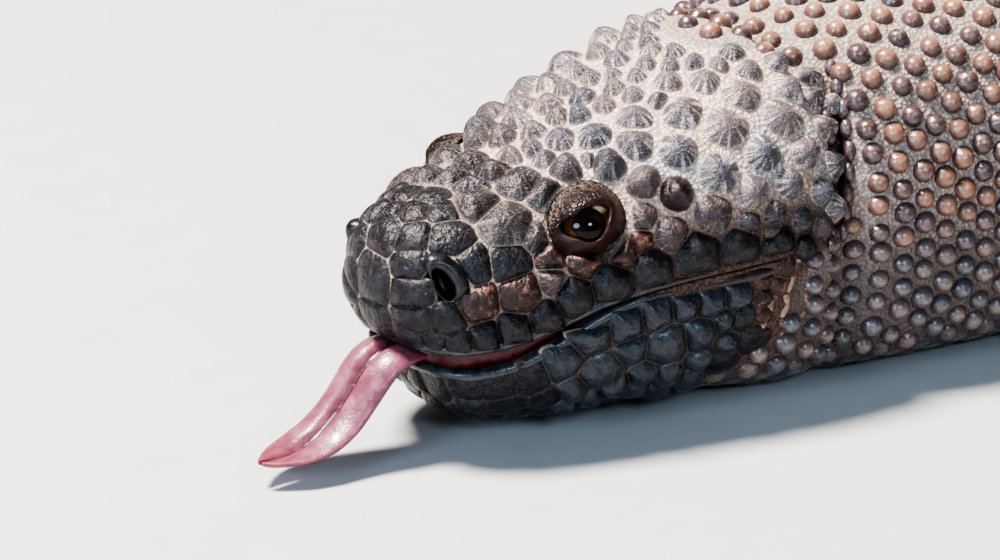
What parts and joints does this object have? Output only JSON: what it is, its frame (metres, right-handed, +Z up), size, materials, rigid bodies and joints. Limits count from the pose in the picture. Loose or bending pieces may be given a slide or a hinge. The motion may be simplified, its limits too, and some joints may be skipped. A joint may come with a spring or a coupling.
{
  "type": "mexican beaded lizard",
  "caption": "Life-size beaded lizard lying on its belly, head low, jaws parted, tongue out to the floor, legs spread, thick tail curved to one side.",
  "frame": {"origin": "on the floor under the middle of the belly", "axes": "+Z up; the snout points to -X and the tail to +X; the animal's left side faces -Y"},
  "size_m": [0.7122, 0.2598, 0.0678],
  "materials": {
    "head_hide": "satin beads over matte skin",
    "body_hide": "satin beads over matte skin",
    "tongue": "wet",
    "mouth": "wet",
    "eye": "glossy"
  },
  "bodies": {
    "root": {"head": "head_hide", "lower_jaw": "head_hide", "mouth_lining": "mouth", "tongue": "tongue", "eye_left": "eye", "eye_right": "eye", "neck": "body_hide", "torso": "body_hide", "tail_base": "body_hide", "tail_middle": "body_hide", "tail_tip": "body_hide", "foreleg_left": "body_hide", "foreleg_right": "body_hide", "forefoot_left": "body_hide", "forefoot_right": "body_hide", "hindleg_left": "body_hide", "hindleg_right": "body_hide", "hindfoot_left": "body_hide", "hindfoot_right": "body_hide"}
  },
  "joints": []
}
